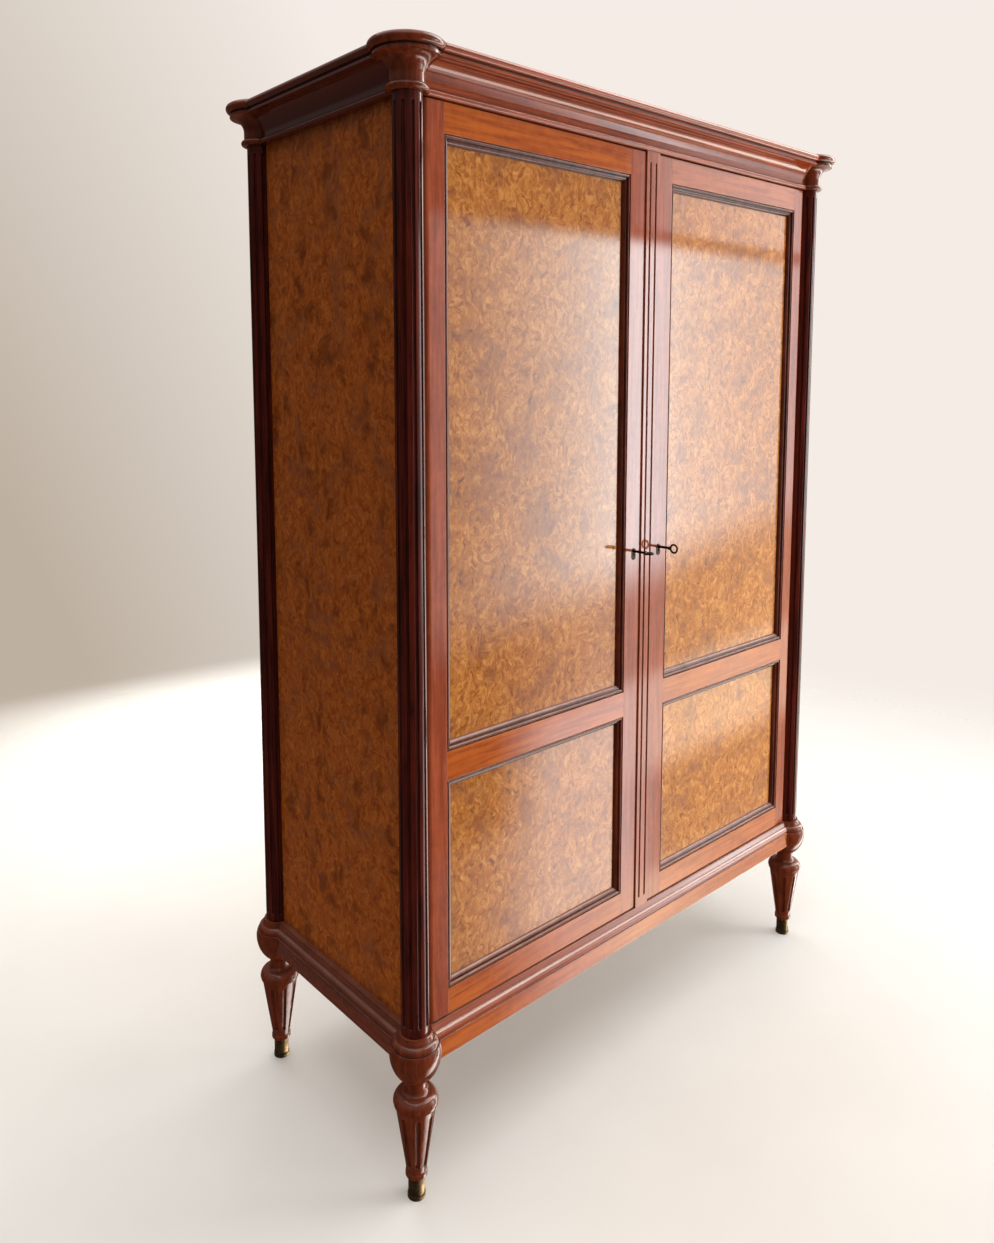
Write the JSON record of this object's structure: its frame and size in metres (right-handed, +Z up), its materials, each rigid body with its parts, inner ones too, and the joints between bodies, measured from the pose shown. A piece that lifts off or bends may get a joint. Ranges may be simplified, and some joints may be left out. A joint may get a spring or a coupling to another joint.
{
  "type": "linen press",
  "caption": "Tall free-standing wooden linen press with two panelled doors, fluted corner columns, a coved cornice with round corners and turned, fluted feet; it stores linen on shelves",
  "frame": {"origin": "on the floor, under the middle of the press", "axes": "+X to the press's right as seen from the front, the doors face -Y, +Z up"},
  "size_m": [1.286, 0.576, 1.892],
  "materials": {
    "dark_mahogany": "french polished, glossy",
    "red_mahogany": "french polished, glossy",
    "mahogany": "french polished, glossy",
    "burr_veneer": "burr veneer, french polished, glossy",
    "oak": "plain sawn, waxed",
    "brass": "dull, aged",
    "iron": "dark, worn smooth"
  },
  "bodies": {
    "carcass": {"foot_front_left": "dark_mahogany", "column_front_left": "dark_mahogany", "cornice_corner_front_left": "dark_mahogany", "foot_front_right": "dark_mahogany", "column_front_right": "dark_mahogany", "cornice_corner_front_right": "dark_mahogany", "foot_back_left": "dark_mahogany", "column_back_left": "dark_mahogany", "cornice_corner_back_left": "dark_mahogany", "foot_back_right": "dark_mahogany", "column_back_right": "dark_mahogany", "cornice_corner_back_right": "dark_mahogany", "brass_sabots": "brass", "cornice_front": "dark_mahogany", "cornice_left": "dark_mahogany", "cornice_right": "dark_mahogany", "cornice_back": "oak", "base_rail_front": "mahogany", "base_rail_left": "mahogany", "base_rail_right": "mahogany", "base_rail_back": "mahogany", "side_panel_left": "burr_veneer", "side_panel_right": "burr_veneer", "back_boards": "oak", "floor_board": "oak", "ceiling_board": "oak", "shelf_1": "oak", "shelf_2": "oak", "shelf_3": "oak", "shelf_cleats": "oak", "centre_post": "red_mahogany", "post_strip": "red_mahogany", "pivot_sockets": "iron"},
    "door_left": {"left_hinge_stile": "red_mahogany", "left_lock_stile": "red_mahogany", "left_top_rail": "mahogany", "left_middle_rail": "mahogany", "left_bottom_rail": "mahogany", "left_upper_panel": "burr_veneer", "left_lower_panel": "burr_veneer", "left_panel_mouldings": "dark_mahogany", "left_pivots": "iron", "left_lock_case": "iron", "left_escutcheon": "brass"},
    "key_left": {"left_key": "iron"},
    "bolt_left": {"left_bolt": "iron"},
    "door_right": {"right_hinge_stile": "red_mahogany", "right_lock_stile": "red_mahogany", "right_top_rail": "mahogany", "right_middle_rail": "mahogany", "right_bottom_rail": "mahogany", "right_upper_panel": "burr_veneer", "right_lower_panel": "burr_veneer", "right_panel_mouldings": "dark_mahogany", "right_pivots": "iron", "right_lock_case": "iron", "right_escutcheon": "brass"},
    "key_right": {"right_key": "iron"},
    "bolt_right": {"right_bolt": "iron"}
  },
  "joints": [
    {"name": "left_door_hinge", "type": "hinge", "parent": "carcass", "child": "door_left", "pos_m": [-0.541, -0.228, 0.3], "axis": [0, 0, -1], "range_deg": [0, 110]},
    {"name": "left_key_turn", "type": "hinge", "parent": "door_left", "child": "key_left", "pos_m": [-0.039, -0.236, 1.049], "axis": [0, 1, 0], "range_deg": [0, 180]},
    {"name": "left_bolt_slide", "type": "slide", "parent": "door_left", "child": "bolt_left", "axis": [1, 0, 0], "range_m": [0, 0.009]},
    {"name": "right_door_hinge", "type": "hinge", "parent": "carcass", "child": "door_right", "pos_m": [0.541, -0.228, 0.3], "axis": [0, 0, 1], "range_deg": [0, 110]},
    {"name": "right_key_turn", "type": "hinge", "parent": "door_right", "child": "key_right", "pos_m": [0.039, -0.236, 1.049], "axis": [0, 1, 0], "range_deg": [0, 180]},
    {"name": "right_bolt_slide", "type": "slide", "parent": "door_right", "child": "bolt_right", "axis": [-1, 0, 0], "range_m": [0, 0.009]}
  ],
  "couplings": [
    {"joint": "left_bolt_slide", "follows": "left_key_turn", "m_per_rad": 0.0028648},
    {"joint": "right_bolt_slide", "follows": "right_key_turn", "m_per_rad": 0.0028648}
  ]
}
